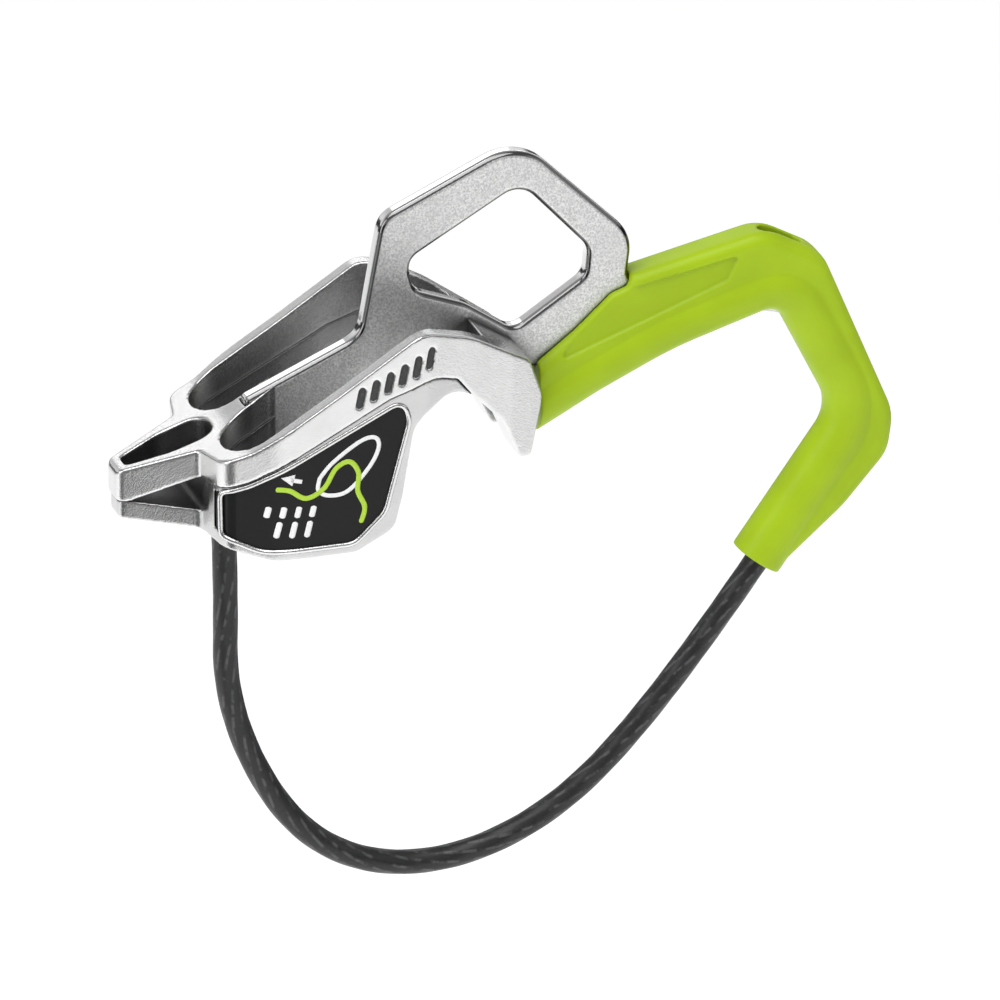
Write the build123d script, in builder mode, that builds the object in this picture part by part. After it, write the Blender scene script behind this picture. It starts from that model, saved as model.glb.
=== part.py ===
from build123d import *

from math import cos, radians, sin, tan
import os

# Rope descender: a two-slot friction body with hooks, a steel centre plate that ends in an
# anchor ring, an overmoulded release lever, and a coated wire loop from nose to lever.
# Millimetres. Origin: centre of the anchor ring's hole. -X is the nose, +X the lever, +Z up.
# Side outlines lie in XZ, plan outlines in XY, and each corner is (x, z or y, fillet radius).

# --- body, driving dimensions
body_length = 61.6  # nose tip to the back of the hooks
body_width = 32.0  # across the outer faces of the two rails
hook_back_x = 3.9  # back of the hooks, measured from the ring's centre
nose_tip_width = 4.8
nose_root_width = 13.6
hook_width = 17.0  # across both hooks at their backs
hook_gap = 7.0  # clear gap between the two hooks
rail_wall = 2.4  # rail thickness beside a rope slot
shell_inset = 0.35  # how far the shell's walls stand back from the rails
slot_front_radius = 5.7  # round front end of each rope slot
septum_width = 4.1  # block between the slots, where it grips the plate
eye_width = 7.0  # release eye in the nose
label_thickness = 0.4
label_depth = 0.55  # depth of the pocket that the label lies in
label_gap = 0.15  # clearance round the label
mark_depth = 0.3  # depth of the marks engraved in the rails
mark_count = 6  # engraved bars on each rail
mark_start = (-25.6, -12.2)  # first bar, at the nose end
mark_pitch = 2.1
mark_rise = 0.92
mark_height = 3.4
mark_width = 1.2
mark_angle = 78

# --- centre plate and anchor ring
plate_thickness = 3.0
plate_edge_round = 0.9
bridge_floor_z = -17.0  # floor between the hooks that the plate stands on
bridge_floor = 2.5  # thickness of that floor
tang_hole = 3.0  # holes in the tang that the grip's plastic fills

# --- lever grip
grip_thickness = 6.4
grip_edge_round = 1.7
conduit_diameter = 7.8  # half-round bead along the lower edge, round the wire
grip_front_x = 5.0
panel_depth = 0.5
pocket_place = (42.2, -0.9)  # pocket in the outer edge of the bend
pocket_angle = -26
pocket_length = 7.0
pocket_width = 2.6
pocket_depth = 4.0

# --- wire loop
cord_diameter = 3.6  # over the coating
wire_diameter = 2.4  # steel rope inside it
sleeve_step = 0.4  # how much wider than the coating a sleeve is
sleeve_length = 7.0
coating_inside_grip = 14.0
coating_inside_nose = 2.0

# --- places that follow from the driving dimensions
nose_x = hook_back_x - body_length
shoulder_x = nose_x + 12.4
slot_front_x = nose_x + 14.1
window_back_x = nose_x + 11.8
plate_front_x = slot_front_x + 5.3
half_body = body_width / 2
half_plate = plate_thickness / 2
half_septum = septum_width / 2
sleeve_diameter = cord_diameter + sleeve_step
slot_outer_y = half_body - rail_wall
slot_rear_x = -5.5
anchor_x = nose_x + 16.4  # axis of the wire's front end
shell_bottom_z = -35.8

# Centreline of the wire, from the nose block down, round and up into the grip, as (x, z)
# points. The first and last runs are held by the nose block and by the grip.
wire_route = [
    (anchor_x, -27.2),
    (anchor_x, -45.0),
    (-41.8, -63.0),
    (-33.5, -81.4),
    (-21.8, -90.6),
    (-7.3, -92.1),
    (7.5, -86.5),
    (20.5, -74.6),
    (39.0, -50.9),
    (54.2, -29.5),
    (43.1, -7.5),
    (21.5, -14.0),
]


# The grip ends a little below the wire's last free point, square to the wire.
grip_run = (Vector(*wire_route[9]) - Vector(*wire_route[8])).normalized()
grip_end = Vector(*wire_route[8]) - grip_run * 0.7
coating_end = grip_end + grip_run * coating_inside_grip


def rounded(corners):
    """Closed outline in the open line context, from (u, v, radius) corners."""
    points = [(u, v) for u, v, _ in corners]
    return FilletPolyline(points, radius=[r for _, _, r in corners], close=True)


def mirrored_plan(corners):
    """A plan outline that is symmetrical about the X axis, from the corners of one side."""
    return corners + [(x, -y, r) for x, y, r in reversed(corners)]


def arc_radii(points):
    """Largest arcs for a route: 0.45 of the shorter run over the tangent of half the turn."""
    radii = []
    for before, here, after in zip(points, points[1:], points[2:]):
        run_in = Vector(*here) - Vector(*before)
        run_out = Vector(*after) - Vector(*here)
        half_turn = radians(run_in.get_angle(run_out)) / 2
        radii.append(0.45 * min(run_in.length, run_out.length) / tan(half_turn))
    return radii


# --- outlines

body_plan = mirrored_plan([
    (nose_x, nose_tip_width / 2, 1.6),
    (nose_x + 11.1, nose_root_width / 2, 1.0),
    (shoulder_x, half_body - 2.6, 3.2),
    (shoulder_x + 8.6, half_body, 14),
    (-16.5, half_body, 10),
    (-1.5, hook_width / 2 + 2.0, 3),
    (hook_back_x + 0.2, hook_width / 2 - 0.6, 1.5),
])

slot_round = min(slot_front_radius, 0.495 * (slot_outer_y - half_septum))

slot_plan = [
    (slot_front_x, slot_outer_y, slot_round),
    (slot_front_x, half_septum, slot_round),
    (slot_front_x + 6.2, half_septum, 0),
    (slot_front_x + 10.0, half_plate, 0),
    (slot_rear_x, half_plate, 0),
    (slot_rear_x, hook_width / 2 + 0.6, 2),
    (-17.0, slot_outer_y, 6),
]

eye_plan = mirrored_plan([
    (nose_x + 1.6, 0.2 * eye_width, 1.2),
    (nose_x + 7.8, eye_width / 2 - 0.1, 6),
    (nose_x + 14.6, eye_width / 2, 2.8),
])

# Underside of the rails, where the shell meets them, from the hooks to the nose window.
arch_joint = (-8.0, -15.3)
seam_rear = (-10.6, -12.0)
seam_crest = (-14.6, -10.7)
seam_rise = (nose_x + 16.2, -23.6)
seam_front = (window_back_x, -24.9)
window_apex = (nose_x + 1.6, -29.3)

frame_side = [
    (nose_x, -24.8, 1.2),
    (nose_x + 16.2, -19.4, 12),
    (-28.5, -11.4, 40),
    (-16.3, -3.5, 4.5),
    (-8.3, -6.2, 15),
    (1.6, -12.4, 1.6),
    (hook_back_x, -18.6, 3),
    (1.7, -27.4, 0.8),
    (-0.3, -26.8, 0.8),
    (-3.0, -20.6, 6),
    (*arch_joint, 0),
    (*seam_rear, 0),
    (*seam_crest, 6),
    (-21.3, -12.9, 0),
    (*seam_rise, 6),
    (*seam_front, 0),
    (*window_apex, 0),
    (nose_x, window_apex[1], 0.4),
]

shell_side = [
    (nose_x, window_apex[1], 0.4),
    (*window_apex, 0),
    (window_back_x, -30.4, 0.8),
    (*seam_front, 0),
    (*seam_rise, 6),
    (-21.3, -12.9, 0),
    (*seam_crest, 6),
    (*seam_rear, 0),
    (*arch_joint, 0),
    (-11.5, -13.5, 4),
    (-17.6, -17.2, 5),
    (-19.4, -28.0, 8),
    (-20.6, -32.8, 3),
    (-26.3, shell_bottom_z, 3),
    (anchor_x + 2.8, shell_bottom_z, 8),
    (nose_x + 10.6, -33.1, 4),
    (nose_x + 0.4, -32.0, 0.8),
]

label_front_x = nose_x + 12.2

label_side = [
    (label_front_x, -25.8, 0.6),
    (nose_x + 16.2, -24.6, 4),
    (-19.4, -13.7, 1.2),
    (-18.6, -16.6, 2),
    (-22.2, -30.0, 2),
    (-26.6, -34.2, 2),
    (anchor_x + 1.5, -34.2, 6),
    (label_front_x, -31.6, 0.8),
]

plate_side = [
    (plate_front_x, -16.6, 0.8),
    (-21.3, -9.1, 4),
    (-18.0, 8.4, 4),
    (2.6, 17.9, 8),
    (19.4, 1.6, 6),
    (18.6, -5.2, 1),
    (33.0, -3.9, 1.5),
    (33.0, -7.4, 1.5),
    (20.0, -11.0, 3),
    (8.0, bridge_floor_z, 3),
    (-5.0, bridge_floor_z, 0.5),
    (-11.5, -11.8, 3),
    (-18.6, -16.2, 5),
    (-21.0, -28.0, 8),
    (-23.0, -33.4, 3),
    (plate_front_x, -33.4, 0.5),
]

ring_hole = [
    (2.7, 11.2, 3.5),
    (12.7, 0.4, 3),
    (12.3, -4.0, 2.5),
    (1.7, -10.9, 2.5),
    (-5.5, -6.0, 6),
    (-13.0, -3.2, 2.6),
    (-14.2, 1.5, 2.6),
]

tang_hole_places = [(24.5, -7.6), (29.5, -6.2)]

# The grip's outline above the wire; below it the conduit bead makes the edge.
grip_side = [
    (19.0, -4.3, 0.6),
    (39.2, 0.2, 7),
    (47.7, -4.4, 7),
    (58.7, -30.4, 8),
    (57.9, -36.4, 6),
    (51.2, -44.1, 20),
    (42.4, -51.7, 1.5),
    (grip_end.X, grip_end.Y, 1),
    (54.2, -29.5, 5),
    (43.1, -7.5, 5),
    (24.0, -13.3, 0),
    (12.8, -18.5, 0),
    (grip_front_x, -22.8, 0),
    (grip_front_x, -16.0, 0),
    (10.5, -11.8, 1),
    (16.0, -6.8, 1),
    (18.3, -6.0, 0.3),
]

conduit_route = [
    (2.0, -24.2),
    (12.8, -18.5),
    (24.0, -13.3),
    (43.1, -7.5),
    (54.2, -29.5),
    (grip_end.X, grip_end.Y),
]
conduit_radii = [40, 60, 6.5, 9.8]

panel_side = [
    (7.0, -16.4, 0.6),
    (15.6, -6.6, 1.5),
    (35.0, -2.9, 0.5),
    (33.2, -6.6, 0.8),
    (21.0, -11.2, 20),
]


# --- solids used by more than one piece

hung = (Align.CENTER, Align.CENTER, Align.MAX)  # a block that hangs below its place


def prism(corners, thickness):
    """A side outline made into a slab that straddles the middle plane."""
    with BuildPart() as slab:
        with BuildSketch(Plane.XZ):
            with BuildLine():
                rounded(corners)
            make_face()
        extrude(amount=thickness / 2, both=True)
    return slab.part


def column(corners, inset=0.0):
    """A plan outline made into a tall column, optionally drawn in all round."""
    with BuildPart() as block:
        with BuildSketch(Plane.XY.offset(-60)):
            with BuildLine():
                rounded(corners)
            make_face()
            if inset:
                offset(amount=-inset, mode=Mode.REPLACE)
        extrude(amount=80)
    return block.part


def tube(points, radii, diameter, bore=0.0):
    """A tube along a route in the middle plane: straight runs joined by tangent arcs."""
    with BuildPart() as run:
        with BuildLine() as route:
            FilletPolyline([(x, 0, z) for x, z in points], radius=radii)
        with BuildSketch(Plane(origin=route.line @ 0, z_dir=route.line % 0)):
            Circle(diameter / 2)
            if bore:
                Circle(bore / 2, mode=Mode.SUBTRACT)
        sweep(path=route.line)
    return run.part


def engraved_marks():
    """Slanted bars that climb along both rails, as deep as mark_depth."""
    with BuildPart() as bars:
        with BuildSketch(Plane.XZ):
            for n in range(mark_count):
                with Locations((mark_start[0] + n * mark_pitch, mark_start[1] + n * mark_rise)):
                    SlotOverall(mark_height, mark_width, rotation=mark_angle)
        extrude(amount=half_body + 1, both=True)
        add(column(body_plan, mark_depth), mode=Mode.SUBTRACT)
    return bars.part


def label_shape(outline_gap, inset_out, inset_in):
    """What lies between two depths under the shell's side walls, inside the label's outline."""
    with BuildPart() as sheet:
        with BuildSketch(Plane.XZ):
            with BuildLine():
                rounded(label_side)
            make_face()
            if outline_gap:
                offset(amount=-outline_gap, mode=Mode.REPLACE)
        extrude(amount=half_body, both=True)
        add(column(body_plan, inset_out), mode=Mode.INTERSECT)
        add(column(body_plan, inset_in), mode=Mode.SUBTRACT)
    return sheet.part


# --- wire loop

wire_radii = arc_radii(wire_route)
print("wire arc radii:", [round(r, 1) for r in wire_radii])

with BuildPart() as wire_rope:
    add(tube(wire_route, wire_radii, wire_diameter))

coating_top_z = shell_bottom_z + coating_inside_nose
coating_route = [(anchor_x, coating_top_z), *wire_route[1:9], (coating_end.X, coating_end.Y)]

with BuildPart() as cable_coating:
    add(tube(coating_route, wire_radii[:8], cord_diameter, wire_diameter))

with BuildPart() as nose_sleeve:
    with BuildSketch(Plane.XY.offset(coating_top_z)):
        with Locations((anchor_x, 0)):
            Circle(sleeve_diameter / 2)
            Circle(wire_diameter / 2, mode=Mode.SUBTRACT)
    extrude(amount=sleeve_length)

rear_end = Vector(wire_route[-1][0], 0, wire_route[-1][1])
rear_run = (Vector(wire_route[-2][0], 0, wire_route[-2][1]) - rear_end).normalized()

with BuildPart() as grip_sleeve:
    with BuildSketch(Plane(origin=rear_end, z_dir=rear_run)):
        Circle(sleeve_diameter / 2)
        Circle(wire_diameter / 2, mode=Mode.SUBTRACT)
    extrude(amount=sleeve_length)


# --- centre plate with the anchor ring

plate_seat = prism(plate_side, plate_thickness)


def in_the_open(edge):
    """True for the edges of the plate's faces along the ridge, the ring and the ring's hole."""
    place = edge.center()
    on_face = abs(abs(place.Y) - half_plate) < 0.01
    on_ridge = place.X < -21 and place.Z > -16.5
    on_ring = -21 < place.X < 19.5 and place.Z > -11.3 and not (place.X < -9 and place.Z < -9.5)
    return on_face and (on_ridge or on_ring)


with BuildPart() as centre_plate:
    add(plate_seat)
    with BuildSketch(Plane.XZ):
        with BuildLine():
            rounded(ring_hole)
        make_face()
    extrude(amount=plate_thickness, both=True, mode=Mode.SUBTRACT)
    fillet(centre_plate.edges().filter_by(in_the_open), plate_edge_round)
    with BuildSketch(Plane.XZ):
        with Locations(*tang_hole_places):
            Circle(tang_hole / 2)
    extrude(amount=plate_thickness, both=True, mode=Mode.SUBTRACT)


# --- polished frame: nose, rails and hooks

with BuildPart() as rope_slots:
    add(column(slot_plan))
    mirror(about=Plane.XZ)

# Open way for the plate, from its front end to the rear of the slots.
plate_way = Pos(plate_front_x, 0, 0) * Box(
    slot_rear_x - plate_front_x, plate_thickness, 120, align=(Align.MIN, Align.CENTER, Align.CENTER)
)

with BuildPart() as upper_frame:
    add(column(body_plan))
    add(prism(frame_side, 2 * body_width), mode=Mode.INTERSECT)
    add(rope_slots.part, mode=Mode.SUBTRACT)
    add(column(eye_plan), mode=Mode.SUBTRACT)
    with Locations((hook_back_x, 0, bridge_floor_z - bridge_floor)):
        Box(22, hook_gap, 30, align=hung, mode=Mode.SUBTRACT)
    add(plate_seat, mode=Mode.SUBTRACT)
    add(plate_way, mode=Mode.SUBTRACT)
    add(engraved_marks(), mode=Mode.SUBTRACT)

# --- shell under the frame: nose floor, block for the wire and the two cheeks

with BuildPart() as lower_shell:
    add(column(body_plan, shell_inset))
    add(prism(shell_side, 2 * body_width), mode=Mode.INTERSECT)
    add(rope_slots.part, mode=Mode.SUBTRACT)
    add(plate_way, mode=Mode.SUBTRACT)
    with Locations((anchor_x, 0, coating_top_z + sleeve_length)):
        Cylinder(sleeve_diameter / 2, 20, align=hung, mode=Mode.SUBTRACT)
    add(label_shape(0, shell_inset - 1, shell_inset + label_depth), mode=Mode.SUBTRACT)

labels = label_shape(label_gap, shell_inset + label_depth - label_thickness, shell_inset + label_depth)

with BuildPart() as label_left:
    add(labels.solids().sort_by(Axis.Y)[0])

with BuildPart() as label_right:
    add(labels.solids().sort_by(Axis.Y)[-1])

# --- lever grip

conduit = tube(conduit_route, conduit_radii, conduit_diameter)


def outer_edge(edge):
    """True for the edges of the grip's flanks that lie clear of the conduit and of the ring."""
    place = edge.center()
    on_flank = abs(abs(place.Y) - grip_thickness / 2) < 0.01
    return on_flank and place.X > 19.5 and edge.distance_to(conduit) > 2


pocket_plane = Plane(
    origin=(pocket_place[0], 0, pocket_place[1]),
    x_dir=(cos(radians(pocket_angle)), 0, sin(radians(pocket_angle))),
    z_dir=(-sin(radians(pocket_angle)), 0, cos(radians(pocket_angle))),
)

with BuildPart() as lever_grip:
    add(prism(grip_side, grip_thickness))
    fillet(lever_grip.edges().filter_by(outer_edge), grip_edge_round)
    add(conduit)
    for side in (1, -1):
        with BuildSketch(Plane.XZ.offset(side * (grip_thickness / 2 - panel_depth))):
            with BuildLine():
                rounded(panel_side)
            make_face()
        extrude(amount=side * conduit_diameter, mode=Mode.SUBTRACT)
    with BuildSketch(pocket_plane):
        SlotOverall(pocket_length, pocket_width)
    extrude(amount=-pocket_depth, mode=Mode.SUBTRACT)
    add(centre_plate.part, mode=Mode.SUBTRACT)
    add(wire_rope.part, mode=Mode.SUBTRACT)
    add(cable_coating.part, mode=Mode.SUBTRACT)
    add(grip_sleeve.part, mode=Mode.SUBTRACT)
    with Locations((grip_front_x, 0, -16)):
        Box(20, 20, 20, align=(Align.MAX, Align.CENTER, Align.MAX), mode=Mode.SUBTRACT)

os.makedirs("parts", exist_ok=True)
pieces = {
    "upper_frame": upper_frame,
    "lower_shell": lower_shell,
    "centre_plate": centre_plate,
    "label_left": label_left,
    "label_right": label_right,
    "lever_grip": lever_grip,
    "wire_rope": wire_rope,
    "cable_coating": cable_coating,
    "nose_sleeve": nose_sleeve,
    "grip_sleeve": grip_sleeve,
}
for name, piece in pieces.items():
    piece.part.label = name
    export_step(piece.part, f"parts/{name}.step")
    print(name, len(piece.part.solids()), round(piece.part.volume, 1))
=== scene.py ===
"""Looks for a rope descender: finishes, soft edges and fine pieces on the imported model.

Everything is in metres in the model's own frame: -X is the nose, +X the lever, +Z up, and
the middle plane of the device is Y = 0.
"""

import math

import bmesh
import bpy
from bpy.props import FloatProperty, FloatVectorProperty, IntProperty, PointerProperty
from bpy.types import Operator, Panel, PropertyGroup
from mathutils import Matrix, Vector
from mathutils.bvhtree import BVHTree


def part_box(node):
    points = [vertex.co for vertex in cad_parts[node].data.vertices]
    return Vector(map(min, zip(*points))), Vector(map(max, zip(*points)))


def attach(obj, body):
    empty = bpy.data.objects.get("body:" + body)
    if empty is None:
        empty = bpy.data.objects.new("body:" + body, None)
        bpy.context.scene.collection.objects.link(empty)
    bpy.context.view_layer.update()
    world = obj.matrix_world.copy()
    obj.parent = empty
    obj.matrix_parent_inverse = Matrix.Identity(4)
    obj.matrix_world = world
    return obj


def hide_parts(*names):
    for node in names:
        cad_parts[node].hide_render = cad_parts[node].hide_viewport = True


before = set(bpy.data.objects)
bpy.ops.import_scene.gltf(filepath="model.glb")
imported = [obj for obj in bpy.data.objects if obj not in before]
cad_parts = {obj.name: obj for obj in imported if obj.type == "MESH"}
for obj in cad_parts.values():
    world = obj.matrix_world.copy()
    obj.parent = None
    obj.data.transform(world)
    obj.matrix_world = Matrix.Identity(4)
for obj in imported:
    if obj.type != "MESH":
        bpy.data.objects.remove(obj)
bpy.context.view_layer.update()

bl_info = {
    "name": "Rope Descender",
    "version": (1, 0, 0),
    "blender": (4, 5, 0),
    "location": "View3D > Sidebar > Descender",
    "description": "Finishes a steel rope descender with a moulded lever and a wire loop",
    "category": "Object",
}

MM = 0.001
SLOT_SHADE_REACH = 18 * MM  # painted shade: slots whose walls stand nearer than this to each other darken
OUTSIDE = 0.05  # a distance from the middle plane that is well clear of the device

# Centreline of the coated wire, from inside the nose block round to inside the grip.
WIRE_ROUTE = (
    (-0.0413, 0.0, -0.0338),
    (-0.0409, 0.0, -0.0450),
    (-0.0413, 0.0, -0.0637),
    (-0.0331, 0.0, -0.0823),
    (-0.0217, 0.0, -0.0915),
    (-0.0070, 0.0, -0.0931),
    (0.0081, 0.0, -0.0874),
    (0.0213, 0.0, -0.0752),
    (0.0396, 0.0, -0.0512),
    (0.0468, 0.0, -0.0402),
)

# Where only the bare wire goes on, up into the nose block and round inside the grip.
BARE_START = ((-0.0413, 0.0, -0.0272),)
BARE_END = ((0.0542, 0.0, -0.0295), (0.0431, 0.0, -0.0075), (0.0215, 0.0, -0.0140))


# --- shader building


class Socket:
    """An output socket that can stand in Python arithmetic; each operator adds a Math node."""

    def __init__(self, nodes, socket):
        self.nodes = nodes
        self.socket = socket

    def _with(self, operation, *values):
        sockets = dict(enumerate(values))
        return self.nodes.node("ShaderNodeMath", {"operation": operation}, sockets)

    def __add__(self, other):
        return self._with("ADD", self, other)

    __radd__ = __add__

    def __sub__(self, other):
        return self._with("SUBTRACT", self, other)

    def __rsub__(self, other):
        return self._with("SUBTRACT", other, self)

    def __mul__(self, other):
        return self._with("MULTIPLY", self, other)

    __rmul__ = __mul__

    def __abs__(self):
        return self._with("ABSOLUTE", self)

    def between(self, low, high):
        """0 below low, 1 above high, and a smooth step from one to the other."""
        sockets = {"Value": self, "From Min": low, "From Max": high}
        settings = {"interpolation_type": "SMOOTHSTEP", "clamp": True}
        return self.nodes.node("ShaderNodeMapRange", settings, sockets)


class Nodes:
    """A node tree built from expressions, which feed its one shader."""

    def __init__(self, tree, shader):
        self.tree = tree
        self.shader = tree.nodes[shader]

    def node(self, kind, settings=None, sockets=None, out=0):
        """Adds a node: its settings first, then the values or links of its sockets."""
        made = self.tree.nodes.new(kind)
        for key, value in (settings or {}).items():
            if key == "stops":
                self.graded(made.color_ramp.elements, value)
            else:
                setattr(made, key, value)
        for key, value in (sockets or {}).items():
            if isinstance(value, Socket):
                self.tree.links.new(value.socket, made.inputs[key])
            else:
                made.inputs[key].default_value = value
        return Socket(self, made.outputs[out])

    def graded(self, elements, stops):
        """A ramp's stops from (place, colour) pairs; a new ramp has two already."""
        for n, (place, colour) in enumerate(stops):
            stop = elements[n] if n < 2 else elements.new(place)
            stop.position = place
            stop.color = colour

    def feed(self, **values):
        """Links expressions to the shader: base_color=..., roughness=..., normal=..."""
        for key, value in values.items():
            name = " ".join(word.capitalize() for word in key.split("_"))
            self.tree.links.new(value.socket, self.shader.inputs[name])

    def axis(self, vector, letter):
        return self.node("ShaderNodeSeparateXYZ", None, {"Vector": vector}, out=letter)


class Finish(Nodes):
    """A material on one Principled shader, with constants on the shader's own sockets."""

    def __init__(self, name, constants):
        self.material = bpy.data.materials.new(name)
        self.material.use_nodes = True
        super().__init__(self.material.node_tree, "Principled BSDF")
        for socket, value in constants.items():
            self.shader.inputs[socket].default_value = value

    def place(self):
        """The surface point in metres, in the model's frame."""
        return self.node("ShaderNodeTexCoord", out="Object")

    def grain(self, size, detail=2.0, rough=0.5, stretch=(1, 1, 1)):
        """Noise whose features are about size metres across."""
        scaled = self.node(
            "ShaderNodeVectorMath", {"operation": "MULTIPLY"}, {0: self.place(), 1: stretch}
        )
        sockets = {"Vector": scaled, "Scale": 1 / size, "Detail": detail, "Roughness": rough}
        return self.node("ShaderNodeTexNoise", None, sockets)

    def mixed(self, factor, first, second):
        """first where factor is 0, second where it is 1."""
        return self.node(
            "ShaderNodeMix", {"data_type": "RGBA"}, {0: factor, 6: first, 7: second}, out=2
        )

    def bumped(self, height, distance):
        """A normal from height, 0 to 1, times distance metres."""
        sockets = {"Distance": distance, "Height": height}
        return self.node("ShaderNodeBump", None, sockets, out="Normal")

    def crevice(self, reach, low=0.12, high=0.41):
        """1 in slots and tight corners, 0 where nothing stands within reach metres; the finishes
        paint shade by it.
        """
        sockets = {"Distance": reach}
        open_share = self.node("ShaderNodeAmbientOcclusion", {"samples": 8}, sockets, out="AO")
        return (1 - open_share).between(low, high)

    def ridge(self):
        """Above 0.5 on convex edges and below it in hollows."""
        return self.node("ShaderNodeNewGeometry", out="Pointiness")


def rgb(colour, share=1.0):
    """An opaque colour, share as bright."""
    return (*[c * share for c in colour[:3]], 1.0)


def cast_steel(name, settings, relief, painted_shade=1.0):
    """Tumbled and polished stainless steel: fine pitting, glossier edges, rougher hollows and
    slots, with painted shade darkening them.
    """
    finish = Finish(name, {"Metallic": 1.0})
    # a share below 1 darkens the whole steel as painted shade
    steel = rgb(settings.steel_colour, painted_shade)
    clouds = finish.grain(4.2 * MM, 3.0, 0.55)
    pits = finish.grain(0.28 * MM, 3.0, 0.65)
    swirl = finish.grain(1.6 * MM, 1.0, 0.4)
    shaded_hollow = 1 - finish.ridge().between(0.44, 0.50)
    edge = finish.ridge().between(0.51, 0.56)
    tone = finish.mixed(clouds.between(0.3, 0.7), rgb(steel, 0.93), rgb(steel))
    slot = finish.crevice(SLOT_SHADE_REACH)
    # painted shade: slot interiors darkened nearly to black in the base colour
    tone = finish.mixed(slot * 0.95, tone, rgb(steel, 0.09))
    # painted shade: hollows darkened in the base colour
    tone = finish.mixed(shaded_hollow * 0.6, tone, rgb(steel, 0.35))
    rough = settings.steel_roughness + (clouds - 0.5) * 0.12 + (pits - 0.5) * 0.16
    rough = rough - edge * 0.07 + shaded_hollow * 0.08 + slot * 0.16
    height = pits.between(0.32, 0.62) * (0.7 + 1.5 * slot) + swirl * 0.15
    finish.feed(base_color=tone, roughness=rough, normal=finish.bumped(height, relief))
    return finish.material


def plate_steel(settings, half_plate):
    """Blasted flat faces with a fine grain; rounded, polished edges with a painted dark
    reflection line, and painted shade where the rails stand close.
    """
    finish = Finish("blasted plate", {"Metallic": 1.0})
    steel = settings.steel_colour
    across = abs(finish.axis(finish.place(), "Y"))
    face = across.between(half_plate - 0.10 * MM, half_plate - 0.02 * MM)
    painted_dark_reflection = across.between(half_plate - 0.60 * MM, half_plate - 0.42 * MM) * (1 - face)
    grain = finish.grain(0.28 * MM, 4.0, 0.7)
    clouds = finish.grain(5.0 * MM, 3.0, 0.6)
    scuffs = finish.grain(0.5 * MM, 1.0, 0.5, stretch=(0.25, 1, 2.2))
    blasted = finish.mixed(grain.between(0.36, 0.64), rgb(steel, 0.76), rgb(steel, 1.24))
    blasted = finish.mixed(clouds.between(0.45, 0.7) * 0.3, blasted, rgb(steel, 0.92))
    # painted reflection: a dark line painted along the rounded edge
    rounded = finish.mixed(painted_dark_reflection * 0.85, rgb(steel), rgb(steel, 0.08))
    tone = finish.mixed(face, rounded, blasted)
    # painted shade: the plate darkens where the rails stand close to it
    tone = finish.mixed(finish.crevice(15 * MM, 0.24, 0.50) * 0.9, tone, rgb(steel, 0.14))
    rough = 0.15 + face * (0.22 + 0.16 * grain) + (scuffs - 0.5) * 0.06
    height = grain * face + scuffs * 0.12
    normal = finish.bumped(height, settings.blast_relief)
    finish.feed(base_color=tone, roughness=rough, normal=normal)
    return finish.material


def moulded_plastic(settings):
    """Soft-gloss moulded plastic with a faint spark-eroded texture, with painted shade darkening
    its hollows and crevices.
    """
    constants = {
        "Subsurface Weight": 0.12,
        "Subsurface Scale": 1.6 * MM,
        "Subsurface Radius": (0.7, 1.0, 0.15),
        "Specular IOR Level": 0.3,
    }
    finish = Finish("moulded lever plastic", constants)
    lime = settings.grip_colour
    texture = finish.grain(0.22 * MM, 3.0, 0.65)
    flow = finish.grain(9.0 * MM, 2.0, 0.4)
    marks = finish.grain(0.8 * MM, 1.0, 0.5, stretch=(0.2, 1, 1.5))
    shaded_hollow = 1 - finish.ridge().between(0.45, 0.50)
    tone = finish.mixed(flow.between(0.35, 0.65), rgb(lime, 0.95), rgb(lime, 1.03))
    # painted shade: hollows darkened in the base colour
    tone = finish.mixed(shaded_hollow * 0.35, tone, rgb(lime, 0.62))
    # painted shade: crevices and tight corners darkened
    tone = finish.mixed(finish.crevice(5 * MM, 0.05, 0.45) * 0.5, tone, rgb(lime, 0.6))
    rough = settings.grip_roughness + (texture - 0.5) * 0.14 + (marks - 0.5) * 0.08
    finish.feed(
        base_color=tone,
        roughness=rough,
        normal=finish.bumped(texture + 0.3 * marks, 0.012 * MM),
    )
    return finish.material


def cable_coating(settings):
    """Smoky plastic over twisted strands, which show through it as paler bands."""
    constants = {"Coat Roughness": 0.12, "Specular IOR Level": 0.36}
    finish = Finish("smoky cable coating", constants)
    smoke = settings.coating_colour
    strand = finish.node("ShaderNodeAttribute", {"attribute_name": "strand"}, out="Fac")
    fibre = finish.grain(0.5 * MM, 3.0, 0.6)
    blotch = finish.grain(1.8 * MM, 2.0, 0.5)
    scuff = finish.grain(0.25 * MM, 2.0, 0.6)
    show = strand.between(0.55, 0.98) * blotch.between(0.42, 0.60)
    tone = finish.mixed(show * 0.8, rgb(smoke, 0.62), rgb(smoke, 2.9))
    tone = finish.mixed(fibre.between(0.5, 0.75) * 0.22, tone, rgb(smoke, 1.9))
    rough = 0.30 + scuff * 0.14 - show * 0.06
    finish.feed(
        base_color=tone, roughness=rough, normal=finish.bumped(scuff, 0.006 * MM)
    )
    return finish.material


def label_film(settings):
    """Black printed film under a thin clear layer."""
    constants = {"Coat Roughness": 0.06, "Coat Weight": 0.15, "Specular IOR Level": 0.16}
    finish = Finish("label film", constants)
    film = settings.film_colour
    speck = finish.grain(0.18 * MM, 2.0, 0.6)
    haze = finish.grain(6.0 * MM, 2.0, 0.5)
    tone = finish.mixed(speck.between(0.55, 0.75) * 0.35, rgb(film), rgb(film, 1.9))
    tone = finish.mixed(haze.between(0.4, 0.7) * 0.25, tone, rgb(film, 1.35))
    rough = 0.34 + speck * 0.12
    finish.feed(
        base_color=tone, roughness=rough, normal=finish.bumped(speck, 0.003 * MM)
    )
    return finish.material


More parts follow.
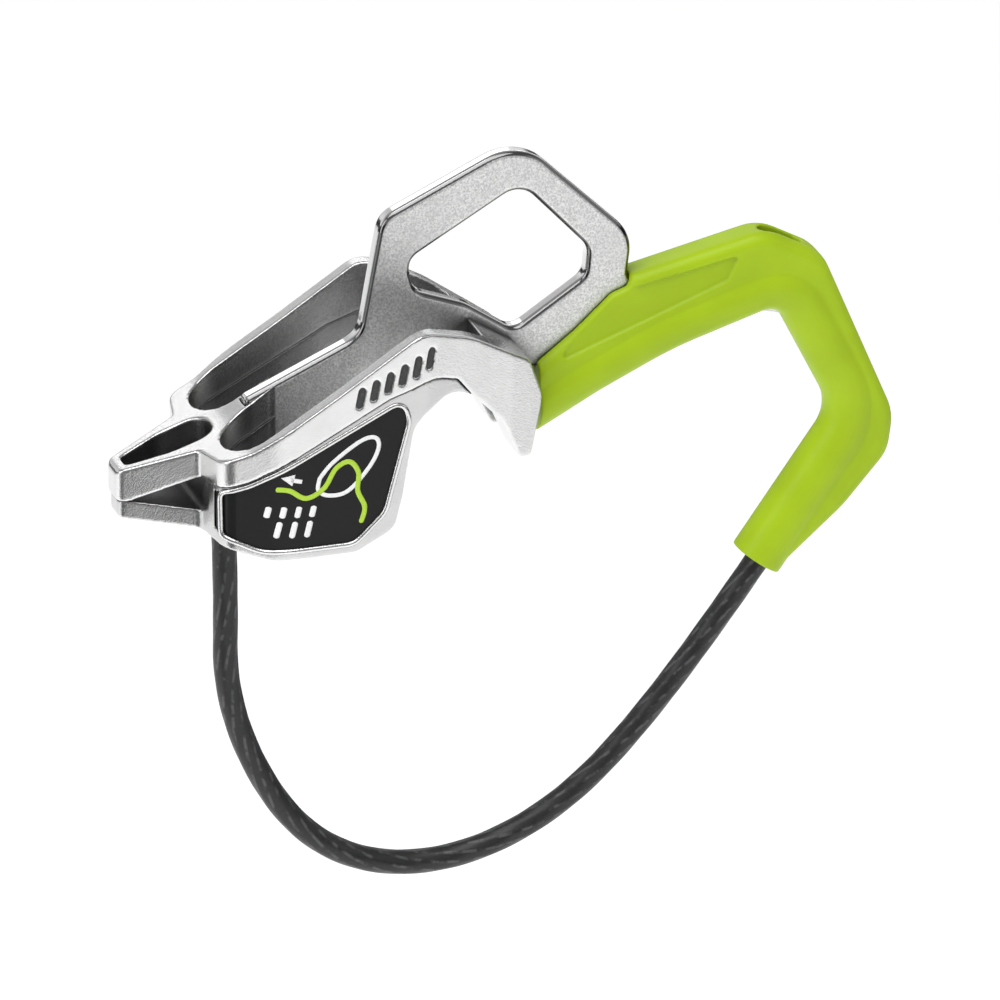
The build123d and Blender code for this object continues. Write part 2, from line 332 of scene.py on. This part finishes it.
def printed_ink(name, colour):
    """A solid printed colour with slightly uneven cover."""
    finish = Finish(name, {"Coat Weight": 0.4, "Coat Roughness": 0.08})
    cover = finish.grain(0.5 * MM, 3.0, 0.6)
    tone = finish.mixed(cover.between(0.3, 0.7), rgb(colour, 0.92), rgb(colour))
    finish.feed(
        base_color=tone,
        roughness=0.36 + cover * 0.1,
        normal=finish.bumped(cover, 0.003 * MM),
    )
    return finish.material


def baked_enamel(settings):
    """Dark paint left in the engraved bars."""
    finish = Finish("engraving enamel", {})
    dark = settings.enamel_colour
    wear = finish.grain(0.35 * MM, 3.0, 0.6)
    tone = finish.mixed(wear.between(0.5, 0.75), rgb(dark), rgb(dark, 2.0))
    finish.feed(
        base_color=tone,
        roughness=0.45 + wear * 0.2,
        normal=finish.bumped(wear, 0.02 * MM),
    )
    return finish.material


def drawn_wire(settings):
    """Bright drawn wire and crimped sleeves."""
    finish = Finish("drawn wire", {"Metallic": 1.0})
    steel = settings.steel_colour
    draw = finish.grain(0.25 * MM, 2.0, 0.6, stretch=(1, 1, 0.15))
    tone = finish.mixed(draw, rgb(steel, 0.7), rgb(steel, 0.95))
    finish.feed(
        base_color=tone, roughness=0.22 + draw * 0.15, normal=finish.bumped(draw, 0.01 * MM)
    )
    return finish.material


# --- mesh building


def linked(name, data):
    """A new object in the scene."""
    made = bpy.data.objects.new(name, data)
    bpy.context.scene.collection.objects.link(made)
    return made


def finished(name, bm, material):
    """A shaded mesh object from bm."""
    mesh = bpy.data.meshes.new(name)
    bmesh.ops.recalc_face_normals(bm, faces=bm.faces)
    bm.to_mesh(mesh)
    bm.free()
    mesh.shade_smooth()
    mesh.materials.append(material)
    return linked(name, mesh)


def repaint(node, material):
    """The CAD node takes this finish in every slot."""
    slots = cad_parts[node].data.materials
    slots.clear()
    slots.append(material)


def soften(node, voxel, rounds):
    """Breaks every edge of a CAD node a little, as tumbling or moulding leaves it."""
    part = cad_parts[node]
    fine = part.modifiers.new("even skin", "REMESH")
    fine.mode = "VOXEL"
    fine.voxel_size = voxel
    fine.use_smooth_shade = True
    worn = part.modifiers.new("broken edges", "SMOOTH")
    worn.factor = 0.5
    worn.iterations = rounds


def bridged(bm, rows, wrap=True):
    """Faces between each row of verts and the next; wrap closes every row on itself."""
    for low, high in zip(rows, rows[1:]):
        for k in range(len(low) if wrap else len(low) - 1):
            m = (k + 1) % len(low)
            bm.faces.new((low[k], low[m], high[m], high[k]))


def smooth_line(points, name):
    """Points along the NURBS line that has these control points."""
    curve = bpy.data.curves.new(name, "CURVE")
    curve.dimensions = "3D"
    curve.resolution_u = 48
    spline = curve.splines.new("NURBS")
    spline.points.add(len(points) - 1)
    for made, place in zip(spline.points, points):
        made.co = (*place, 1.0)
    spline.order_u = 3
    spline.use_endpoint_u = True
    holder = linked(name, curve)
    mesh = bpy.data.meshes.new_from_object(holder)
    line = [v.co.copy() for v in mesh.vertices]
    bpy.data.objects.remove(holder)
    bpy.data.curves.remove(curve)
    bpy.data.meshes.remove(mesh)
    return line


def evenly(line, step):
    """The same line with its points a nearly equal step apart, and its length."""
    reached = [0.0]
    for a, b in zip(line, line[1:]):
        reached.append(reached[-1] + (b - a).length)
    total = reached[-1]
    count = max(2, round(total / step))
    points, n = [], 0
    for i in range(count + 1):
        goal = total * i / count
        while n < len(line) - 2 and reached[n + 1] < goal:
            n += 1
        span = reached[n + 1] - reached[n]
        points.append(line[n].lerp(line[n + 1], (goal - reached[n]) / span))
    return points, total


def node_surface(node):
    """A search tree over a CAD node's own faces."""
    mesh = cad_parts[node].data
    corners = [v.co.copy() for v in mesh.vertices]
    return BVHTree.FromPolygons(corners, [tuple(p.vertices) for p in mesh.polygons])


def outline(node, side, step=0.35 * MM, rounds=3):
    """The closed line round a thin CAD node's outer face, evenly stepped and eased in rounds."""
    bm = bmesh.new()
    bm.from_mesh(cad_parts[node].data)
    bmesh.ops.remove_doubles(bm, verts=bm.verts, dist=0.002 * MM)
    bm.normal_update()
    border = [
        e for e in bm.edges
        if len(e.link_faces) == 2
        and sorted(f.normal.y * side > 0.5 for f in e.link_faces) == [False, True]
    ]
    beside = {}
    for e in border:
        for a, b in (e.verts, reversed(e.verts)):
            beside.setdefault(a, []).append(b)
    first = min(beside, key=lambda v: (v.co.x, v.co.z))
    walk, last = [first], None
    while True:
        ways = [v for v in beside[walk[-1]] if v is not last]
        last = walk[-1]
        if not ways or ways[0] is first:
            break
        walk.append(ways[0])
    loop = [v.co.copy() for v in walk]
    bm.free()
    points = evenly([*loop, loop[0]], step)[0][:-1]
    for _ in range(rounds):
        points = [
            (points[n - 1] + 2 * points[n] + points[(n + 1) % len(points)]) / 4
            for n in range(len(points))
        ]
    return points


def settled(surface, x, z, side, lift):
    """The point above (x, z) on the outer face of that side, lift metres proud of it."""
    hit = surface.ray_cast(Vector((x, side * OUTSIDE, z)), Vector((0, -side, 0)))[0]
    if hit is None:
        raise ValueError(f"nothing lies under ({x:.4f}, {z:.4f}) on side {side}")
    return Vector((x, hit.y + side * lift, z))


def stroke(bm, surface, path, widths, side, lift, closed=False):
    """A flat band of print along path, an (x, z) list in millimetres, widths wide."""
    rows = []
    count = len(path)
    for i, (x, z) in enumerate(path):
        before = path[i - 1] if closed or i else path[i]
        after = path[(i + 1) % count] if closed or i < count - 1 else path[i]
        run = Vector((after[0] - before[0], after[1] - before[1])).normalized()
        half = widths[i] / 2
        row = []
        for across in (-1.0, -0.33, 0.33, 1.0):
            u = x - run.y * half * across
            v = z + run.x * half * across
            row.append(bm.verts.new(settled(surface, u * MM, v * MM, side, lift)))
        rows.append(row)
    bridged(bm, rows + rows[:1] if closed else rows, wrap=False)


def between_points(points, per_run):
    """Straight runs between (x, z) points, divided into per_run steps each."""
    path = []
    for (x0, z0), (x1, z1) in zip(points, points[1:]):
        for k in range(per_run):
            t = k / per_run
            path.append((x0 + (x1 - x0) * t, z0 + (z1 - z0) * t))
    return path + [points[-1]]


def eased(points, steps=12):
    """A smooth (x, z) path through points."""
    path = []
    ends = [points[0], *points, points[-1]]
    for a, b, c, d in zip(ends, ends[1:], ends[2:], ends[3:]):
        for k in range(steps):
            t = k / steps
            path.append(tuple(
                0.5 * (2 * q + (r - p) * t + (2 * p - 5 * q + 4 * r - s) * t * t
                       + (3 * q - p - 3 * r + s) * t ** 3)
                for p, q, r, s in zip(a, b, c, d)
            ))
    return path + [points[-1]]


def round_ended(count, width):
    """Widths in millimetres for a stroke of count points whose two ends are round."""
    steps, thinnest = 3, 0.02  # points from the tip to the full width, and the tip's own
    widths = []
    for i in range(count):
        left = 1 - min(i, count - 1 - i, steps) / steps
        widths.append(width * math.sqrt(1 - left ** 2) + thinnest)
    return widths


# --- settings


class StageSettings(PropertyGroup):
    azimuth: FloatProperty(
        name="Azimuth", description="Camera's turn round the device, 0 looks along +Y",
        default=math.radians(-17.7), subtype="ANGLE", unit="ROTATION",
    )
    elevation: FloatProperty(
        name="Elevation", description="Camera's height above the horizon",
        default=math.radians(23.1), subtype="ANGLE", unit="ROTATION",
    )
    distance: FloatProperty(
        name="Distance", description="From the camera to the point it looks at",
        default=1.9841, min=0.5, subtype="DISTANCE", unit="LENGTH",
    )
    lens: FloatProperty(
        name="Lens", description="Focal length in millimetres", default=500.0, min=50.0
    )
    aim_height: FloatProperty(
        name="Aim height", description="Height of the point that the camera looks at",
        default=-0.0375, subtype="DISTANCE", unit="LENGTH",
    )
    floor_height: FloatProperty(
        name="Floor height", description="Height of the floor below the hanging device",
        default=-0.42, subtype="DISTANCE", unit="LENGTH",
    )
    floor_colour: FloatVectorProperty(
        name="Floor colour", description="Colour of the floor",
        default=(0.97, 0.97, 0.97), size=3, min=0, max=1, subtype="COLOR",
    )
    key_power: FloatProperty(
        name="Key power", description="Power of the large soft light overhead",
        default=13.0, min=0.0, subtype="POWER", unit="POWER",
    )


class SteelSettings(PropertyGroup):
    steel_colour: FloatVectorProperty(
        name="Steel colour", description="Colour of the bare stainless steel",
        default=(0.785, 0.785, 0.78), size=3, min=0, max=1, subtype="COLOR",
    )
    steel_roughness: FloatProperty(
        name="Steel roughness", description="Roughness of the tumbled castings",
        default=0.20, min=0.02, max=1.0, subtype="FACTOR",
    )
    cast_relief: FloatProperty(
        name="Casting relief", description="Depth of the fine pitting left by casting",
        default=0.012 * MM, min=0.0, subtype="DISTANCE", unit="LENGTH",
    )
    blast_relief: FloatProperty(
        name="Blasting relief", description="Depth of the grain on the plate's flat faces",
        default=0.05 * MM, min=0.0, subtype="DISTANCE", unit="LENGTH",
    )
    skin: FloatProperty(
        name="Skin size", description="Size of the faces that the rounded edges are made of",
        default=0.17 * MM, min=0.1 * MM, subtype="DISTANCE", unit="LENGTH",
    )
    enamel_colour: FloatVectorProperty(
        name="Enamel colour", description="Colour of the paint in the engraved bars",
        default=(0.035, 0.035, 0.035), size=3, min=0, max=1, subtype="COLOR",
    )


class WireSettings(PropertyGroup):
    diameter: FloatProperty(
        name="Diameter", description="Over the coating",
        default=3.6 * MM, min=1 * MM, subtype="DISTANCE", unit="LENGTH",
    )
    core_diameter: FloatProperty(
        name="Core diameter", description="Over the bare wire's strands",
        default=2.35 * MM, min=0.5 * MM, subtype="DISTANCE", unit="LENGTH",
    )
    strands: IntProperty(
        name="Strands", description="Outer strands of the wire under the coating",
        default=8, min=3, max=12,
    )
    lay: FloatProperty(
        name="Lay", description="Length in which a strand goes once round",
        default=56 * MM, min=4 * MM, subtype="DISTANCE", unit="LENGTH",
    )
    relief: FloatProperty(
        name="Relief", description="How deep the coating sinks between two strands",
        default=0.035 * MM, min=0.0, subtype="DISTANCE", unit="LENGTH",
    )
    coating_colour: FloatVectorProperty(
        name="Coating colour", description="Colour of the smoky coating",
        default=(0.030, 0.030, 0.031), size=3, min=0, max=1, subtype="COLOR",
    )


class GripSettings(PropertyGroup):
    grip_colour: FloatVectorProperty(
        name="Grip colour", description="Colour of the moulded lever",
        default=(0.345, 0.50, 0.004), size=3, min=0, max=1, subtype="COLOR",
    )
    grip_roughness: FloatProperty(
        name="Grip roughness", description="Roughness of the moulded plastic",
        default=0.42, min=0.02, max=1.0, subtype="FACTOR",
    )
    skin: FloatProperty(
        name="Skin size", description="Size of the faces that the moulded edges are made of",
        default=0.20 * MM, min=0.1 * MM, subtype="DISTANCE", unit="LENGTH",
    )


class LabelSettings(PropertyGroup):
    film_colour: FloatVectorProperty(
        name="Film colour", description="Ground colour of the two labels",
        default=(0.008, 0.008, 0.0085), size=3, min=0, max=1, subtype="COLOR",
    )
    pale_ink: FloatVectorProperty(
        name="Pale ink", description="Colour of the outline drawing",
        default=(0.86, 0.86, 0.86), size=3, min=0, max=1, subtype="COLOR",
    )
    bright_ink: FloatVectorProperty(
        name="Bright ink", description="Colour of the rope in the drawing",
        default=(0.42, 0.66, 0.02), size=3, min=0, max=1, subtype="COLOR",
    )
    print_lift: FloatProperty(
        name="Print lift", description="How far the print stands on the film",
        default=0.02 * MM, min=0.0, subtype="DISTANCE", unit="LENGTH",
    )


class DescenderSettings(PropertyGroup):
    stage: PointerProperty(type=StageSettings)
    steel: PointerProperty(type=SteelSettings)
    wire: PointerProperty(type=WireSettings)
    grip: PointerProperty(type=GripSettings)
    label: PointerProperty(type=LabelSettings)


# --- operators


class DESCENDER_OT_stage(Operator):
    """Adds the camera, the soft lights, the sky and the pale floor"""

    bl_idname = "descender.stage"
    bl_label = "Stage"

    # name, place, size and share of the key light's power
    lamps = (
        ("overhead softbox", (-0.25, -0.35, 1.15), (1.3, 0.9), 1.0),
        ("left softbox", (-1.30, -0.45, 0.35), (0.5, 1.1), 0.38),
        ("right strip", (1.10, -0.75, 0.45), (0.22, 1.0), 0.05),
        ("back strip", (0.30, 1.25, 0.65), (1.1, 0.25), 0.10),
    )
    lamp_aim = Vector((0, 0, -0.03))

    # the sky's grey from straight down, 0, to straight up, 1
    sky_greys = (
        (0.0, 0.60), (0.50, 0.75), (0.60, 0.86), (0.70, 0.60), (0.80, 0.30), (1.0, 0.25),
    )
    sky_strength = 1.02

    floor_glow = 0.405
    floor_reach = 6.0

    # a dark band round the set, lower at the back, and three grey cards over the floor
    band_radius, band_foot, band_top, band_dip = 3.0, -0.40, 0.55, 0.25
    band_sides = 64
    # name, place, size and grey
    cards = (
        ("left_card", (-0.95, -1.05), (1.2, 1.5), 0.10),
        ("right_card", (1.62, -0.30), (1.1, 1.5), 0.10),
        ("rear_card", (1.00, 0.78), (1.1, 0.8), 0.08),
    )
    card_height = -0.40

    def execute(self, context):
        settings = context.scene.descender.stage
        self.camera(context, settings)
        self.sky(context)
        for name, place, size, share in self.lamps:
            self.lamp(name, place, size, settings.key_power * share)
        self.floor(settings)
        self.band()
        for name, place, size, grey in self.cards:
            self.card(name, place, size, grey)
        return {"FINISHED"}

    def camera(self, context, settings):
        camera = bpy.data.cameras.new("studio camera")
        camera.lens = settings.lens
        camera.sensor_width = 36.0
        camera.clip_start, camera.clip_end = 0.1, 50.0
        holder = linked("studio camera", camera)
        az, el = settings.azimuth, settings.elevation
        back = Vector(
            (math.sin(az) * math.cos(el), -math.cos(az) * math.cos(el), math.sin(el))
        )
        holder.location = Vector((0, 0, settings.aim_height)) + back * settings.distance
        holder.rotation_euler = (-back).to_track_quat("-Z", "Y").to_euler()
        context.scene.camera = holder
        context.scene.view_settings.view_transform = "Standard"

    def sky(self, context):
        world = bpy.data.worlds.new("studio sky")
        world.use_nodes = True
        nodes = Nodes(world.node_tree, "Background")
        way = nodes.node("ShaderNodeTexCoord", out="Generated")
        height = 0.5 + 0.5 * nodes.axis(way, "Z")
        stops = [(place, (grey, grey, grey * 1.01, 1.0)) for place, grey in self.sky_greys]
        nodes.feed(color=nodes.node("ShaderNodeValToRGB", {"stops": stops}, {"Fac": height}))
        nodes.shader.inputs["Strength"].default_value = self.sky_strength
        context.scene.world = world

    def lamp(self, name, place, size, power):
        light = bpy.data.lights.new(name, "AREA")
        light.shape = "RECTANGLE"
        light.size, light.size_y = size
        light.energy = power
        holder = linked(name, light)
        holder.location = place
        ahead = self.lamp_aim - Vector(place)
        holder.rotation_euler = ahead.to_track_quat("-Z", "Y").to_euler()

    def floor(self, settings):
        bm = bmesh.new()
        bmesh.ops.create_grid(bm, x_segments=8, y_segments=8, size=self.floor_reach)
        glow = {"Emission Color": (1.0, 1.0, 1.0, 1.0), "Emission Strength": self.floor_glow}
        finish = Finish("pale floor", {"Roughness": 0.9, **glow})
        cloud = finish.grain(0.4, 2.0, 0.5)
        pale = settings.floor_colour
        finish.feed(base_color=finish.mixed(cloud, rgb(pale, 0.985), rgb(pale)))
        floor = finished("floor", bm, finish.material)
        floor.location.z = settings.floor_height

    def band(self):
        """A dark band far round the set."""
        bm = bmesh.new()
        low, high = [], []
        for k in range(self.band_sides):
            angle = math.tau * k / self.band_sides
            x, y = self.band_radius * math.cos(angle), self.band_radius * math.sin(angle)
            low.append(bm.verts.new((x, y, self.band_foot)))
            high.append(bm.verts.new((x, y, self.band_top - self.band_dip * math.sin(angle))))
        bridged(bm, [low, high])
        self.flag("dark_flag", bm, 0.03)

    def card(self, name, place, size, grey):
        """A grey card lying just over the floor."""
        bm = bmesh.new()
        bmesh.ops.create_grid(bm, x_segments=2, y_segments=2, size=0.5)
        card = self.flag(name, bm, grey)
        card.scale = (*size, 1.0)
        card.location = (*place, self.card_height)

    def flag(self, name, bm, grey):
        """A matt grey piece of the stage that is seen only in the gloss of the steel."""
        cloth = Finish(f"{name} cloth", {"Base Color": (grey, grey, grey, 1.0), "Roughness": 1.0})
        flag = finished(name, bm, cloth.material)
        flag.visible_camera = False
        flag.visible_diffuse = False
        flag.visible_shadow = False
        return flag


class DESCENDER_OT_wire_loop(Operator):
    """Sweeps the wire loop, bare and coated, and finishes its two crimped sleeves"""

    bl_idname = "descender.wire_loop"
    bl_label = "Wire loop"

    step = 0.30 * MM
    bare_relief = 0.16 * MM
    bare_sides = 36
    coated_sides = 54
    exit_point = (-0.0413, 0.0, -0.0358)  # where the coated wire leaves the nose block

    def execute(self, context):
        settings = context.scene.descender.wire
        line, length = evenly(smooth_line(WIRE_ROUTE, "wire route"), self.step)
        whole = smooth_line((*BARE_START, *WIRE_ROUTE, *BARE_END), "bare wire route")
        bare, bare_length = evenly(whole, self.step)

        metal = drawn_wire(context.scene.descender.steel)
        core = finished("wire_core", self.swept(
            settings, bare, bare_length, settings.core_diameter, self.bare_relief, self.bare_sides
        ), metal)
        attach(core, "root")
        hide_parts("wire_rope")

        loop = finished("wire_loop", self.swept(
            settings, line, length, settings.diameter, settings.relief, self.coated_sides
        ), cable_coating(settings))
        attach(loop, "root")
        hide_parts("cable_coating")
        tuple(self.exit_point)
        for sleeve in ("nose_sleeve", "grip_sleeve"):
            repaint(sleeve, metal)
        return {"FINISHED"}

    def swept(self, settings, line, length, diameter, relief, sides):
        """A round cord along line, sunk by relief between the strands that wind round it."""
        bm = bmesh.new()
        strand = bm.verts.layers.float.new("strand")
        side = Vector((0, 1, 0))
        rings = []
        for n, place in enumerate(line):
            ahead = line[min(n + 1, len(line) - 1)] - line[max(n - 1, 0)]
            up = side.cross(ahead.normalized())
            turn = length * n / (len(line) - 1) / settings.lay * math.tau
            ring = []
            for k in range(sides):
                angle = math.tau * k / sides
                crest = 0.5 + 0.5 * math.cos(settings.strands * (angle + turn))
                out = diameter / 2 - relief * (1 - crest) ** 1.5
                way = side * math.cos(angle) + up * math.sin(angle)
                vert = bm.verts.new(place + way * out)
                vert[strand] = crest
                ring.append(vert)
            rings.append(ring)
        bridged(bm, rings)
        for ring in (rings[0], rings[-1]):
            bm.faces.new(ring)
        return bm


class DESCENDER_OT_frame(Operator):
    """Finishes the polished frame: nose, rails and hooks"""

    bl_idname = "descender.frame"
    bl_label = "Frame"

    wear = 12

    def execute(self, context):
        settings = context.scene.descender.steel
        repaint("upper_frame", cast_steel("polished frame", settings, settings.cast_relief))
        soften("upper_frame", settings.skin, self.wear)
        return {"FINISHED"}


class DESCENDER_OT_rail_marks(Operator):
    """Fills the engraved bars of both rails with dark enamel"""

    bl_idname = "descender.rail_marks"
    bl_label = "Rail marks"

    # first bar's middle, step to the next, length, width and slant, in millimetres
    start = (-25.6, -12.2)
    step = (2.1, 0.92)
    length = 3.2
    width = 1.0
    slant = math.radians(78)
    count = 6
    path_steps = 18
    fill = 0.20 * MM  # the enamel's face over the floor of a bar
    thickness = 0.12 * MM

    def execute(self, context):
        enamel = baked_enamel(context.scene.descender.steel)
        surface = node_surface("upper_frame")
        run = (math.cos(self.slant), math.sin(self.slant))
        for side, name in ((-1, "rail_marks_left"), (1, "rail_marks_right")):
            bm = bmesh.new()
            for n in range(self.count):
                x, z = self.start[0] + n * self.step[0], self.start[1] + n * self.step[1]
                ends = [
                    (x + run[0] * reach, z + run[1] * reach)
                    for reach in (-self.length / 2, self.length / 2)
                ]
                path = between_points(ends, self.path_steps)
                widths = round_ended(len(path), self.width)
                stroke(bm, surface, path, widths, side, self.fill)
            marks = finished(name, bm, enamel)
            thick = marks.modifiers.new("filled", "SOLIDIFY")
            thick.thickness = self.thickness
            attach(marks, "root")
        return {"FINISHED"}


class DESCENDER_OT_shell(Operator):
    """Finishes the shell under the frame, in the frame's steel darkened as painted shade"""

    bl_idname = "descender.shell"
    bl_label = "Shell"

    wear = 9
    # painted shade: the shell's steel is the frame's steel made darker
    painted_shade = 0.84

    def execute(self, context):
        settings = context.scene.descender.steel
        metal = cast_steel("polished shell", settings, settings.cast_relief, self.painted_shade)
        repaint("lower_shell", metal)
        soften("lower_shell", settings.skin, self.wear)
        return {"FINISHED"}


class DESCENDER_OT_centre_plate(Operator):
    """Finishes the centre plate and its anchor ring"""

    bl_idname = "descender.centre_plate"
    bl_label = "Centre plate"

    def execute(self, context):
        half_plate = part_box("centre_plate")[1][1]
        repaint("centre_plate", plate_steel(context.scene.descender.steel, half_plate))
        return {"FINISHED"}


class DESCENDER_OT_labels(Operator):
    """Finishes the two labels, their polished lips and their print"""

    bl_idname = "descender.labels"
    bl_label = "Labels"

    # Paths in millimetres (x, z): a snap ring, a rope through it and an arrow.
    ring = ((-31.6, -23.8), (-29.6, -21.6), (-25.6, -18.9), (-23.4, -18.6), (-22.9, -20.2),
            (-24.3, -23.0), (-27.4, -26.2), (-30.2, -26.6), (-31.8, -25.6))
    rope = ((-38.0, -24.9), (-36.0, -25.2), (-33.6, -26.6), (-31.0, -25.4), (-29.2, -22.6),
            (-27.2, -21.8), (-25.9, -23.6), (-26.0, -26.4), (-25.0, -29.0), (-25.6, -31.4))
    arrow_shaft = ((-34.2, -24.0), (-36.0, -23.5))
    arrow_head = ((-35.4, -23.65), (-37.2, -23.15))
    # widths of these in millimetres
    line_width, rope_width, head_width, dash_width = 0.62, 0.72, 1.75, 0.85
    tip_width = 0.02
    # a row's first dash (x, z), the step to the next, their number and their height
    dash_rows = ((-39.3, -28.35, 2.15, 4, 1.7), (-38.0, -31.1, 2.2, 3, 2.5))
    dash_lean, row_fall = 0.25, 0.12
    arrow_steps, dash_steps = 8, 20
    lip_offset, lip_radius, lip_sides = 0.42 * MM, 0.40 * MM, 12
    ink_thickness = 0.03 * MM

    def execute(self, context):
        steel = context.scene.descender.steel
        settings = context.scene.descender.label
        film = label_film(settings)
        pale = printed_ink("pale ink", settings.pale_ink)
        bright = printed_ink("bright ink", settings.bright_ink)
        lip = cast_steel("polished lip", steel, steel.cast_relief)
        for side, name in ((-1, "label_left"), (1, "label_right")):
            repaint(name, film)
            self.lip(f"{name}_lip", outline(name, side), side, lip)
            surface = node_surface(name)
            lift = settings.print_lift
            self.printed(f"{name}_drawing", self.drawing(surface, side, lift), pale)
            bm = bmesh.new()
            rope = eased(self.rope)
            stroke(bm, surface, rope, round_ended(len(rope), self.rope_width), side, lift * 2)
            self.printed(f"{name}_rope", bm, bright)
        return {"FINISHED"}

    def drawing(self, surface, side, lift):
        """The snap ring, the arrow and the rows of dashes."""
        bm = bmesh.new()
        ring = eased([*self.ring, self.ring[0]])[:-1]
        stroke(bm, surface, ring, [self.line_width] * len(ring), side, lift, closed=True)
        shaft = between_points(self.arrow_shaft, self.arrow_steps)
        stroke(bm, surface, shaft, [self.line_width] * len(shaft), side, lift)
        head = between_points(self.arrow_head, self.arrow_steps)
        tapered = [
            self.head_width * (1 - k / self.arrow_steps) + self.tip_width
            for k in range(len(head))
        ]
        stroke(bm, surface, head, tapered, side, lift)
        for x, z, pitch, count, tall in self.dash_rows:
            for n in range(count):
                low = (x + n * pitch, z - tall / 2 - self.row_fall * n)
                high = (low[0] + self.dash_lean * tall, low[1] + tall)
                dash = between_points((low, high), self.dash_steps)
                stroke(bm, surface, dash, round_ended(len(dash), self.dash_width), side, lift)
        return bm

    def lip(self, name, loop, side, metal):
        """A polished bead in the shell, just outside the label's edge."""
        count = len(loop)
        middle = sum(loop, Vector()) / count
        bm = bmesh.new()
        rings = []
        for n, place in enumerate(loop):
            ahead = (loop[(n + 1) % count] - loop[n - 1]).normalized()
            out = ahead.cross(Vector((0, side, 0))).normalized()
            if out.dot(place - middle) < 0:
                out.negate()
            up = ahead.cross(out)
            centre = place + out * self.lip_offset
            ring = []
            for k in range(self.lip_sides):
                angle = math.tau * k / self.lip_sides
                way = out * math.cos(angle) + up * math.sin(angle)
                ring.append(bm.verts.new(centre + way * self.lip_radius))
            rings.append(ring)
        bridged(bm, rings + rings[:1])
        bead = finished(name, bm, metal)
        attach(bead, "root")

    def printed(self, name, bm, ink):
        """A thin piece of print lying on a label."""
        piece = finished(name, bm, ink)
        thick = piece.modifiers.new("ink", "SOLIDIFY")
        thick.thickness = self.ink_thickness
        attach(piece, "root")


class DESCENDER_OT_grip(Operator):
    """Finishes the moulded lever grip"""

    bl_idname = "descender.grip"
    bl_label = "Grip"

    wear = 10

    def execute(self, context):
        settings = context.scene.descender.grip
        repaint("lever_grip", moulded_plastic(settings))
        soften("lever_grip", settings.skin, self.wear)
        return {"FINISHED"}


class DESCENDER_PT_panel(Panel):
    """Lists the steps that finish the descender"""

    bl_idname = "DESCENDER_PT_panel"
    bl_label = "Rope descender"
    bl_space_type = "VIEW_3D"
    bl_region_type = "UI"
    bl_category = "Descender"

    def draw(self, context):
        settings = context.scene.descender
        for step in STEPS:
            self.layout.operator(step.bl_idname)
        for group in ("stage", "steel", "wire", "grip", "label"):
            box = self.layout.box()
            values = getattr(settings, group)
            for key in values.__annotations__:
                box.prop(values, key)


STEPS = (
    DESCENDER_OT_stage,
    DESCENDER_OT_wire_loop,
    DESCENDER_OT_frame,
    DESCENDER_OT_rail_marks,
    DESCENDER_OT_shell,
    DESCENDER_OT_centre_plate,
    DESCENDER_OT_labels,
    DESCENDER_OT_grip,
)

CLASSES = (
    StageSettings,
    SteelSettings,
    WireSettings,
    GripSettings,
    LabelSettings,
    DescenderSettings,
    *STEPS,
    DESCENDER_PT_panel,
)


def register():
    for cls in CLASSES:
        bpy.utils.register_class(cls)
    bpy.types.Scene.descender = PointerProperty(type=DescenderSettings)


def unregister():
    del bpy.types.Scene.descender
    for cls in reversed(CLASSES):
        bpy.utils.unregister_class(cls)


def main():
    register()
    for step in STEPS:
        group, name = step.bl_idname.split(".")
        getattr(getattr(bpy.ops, group), name)()


if __name__ == "__main__":
    main()
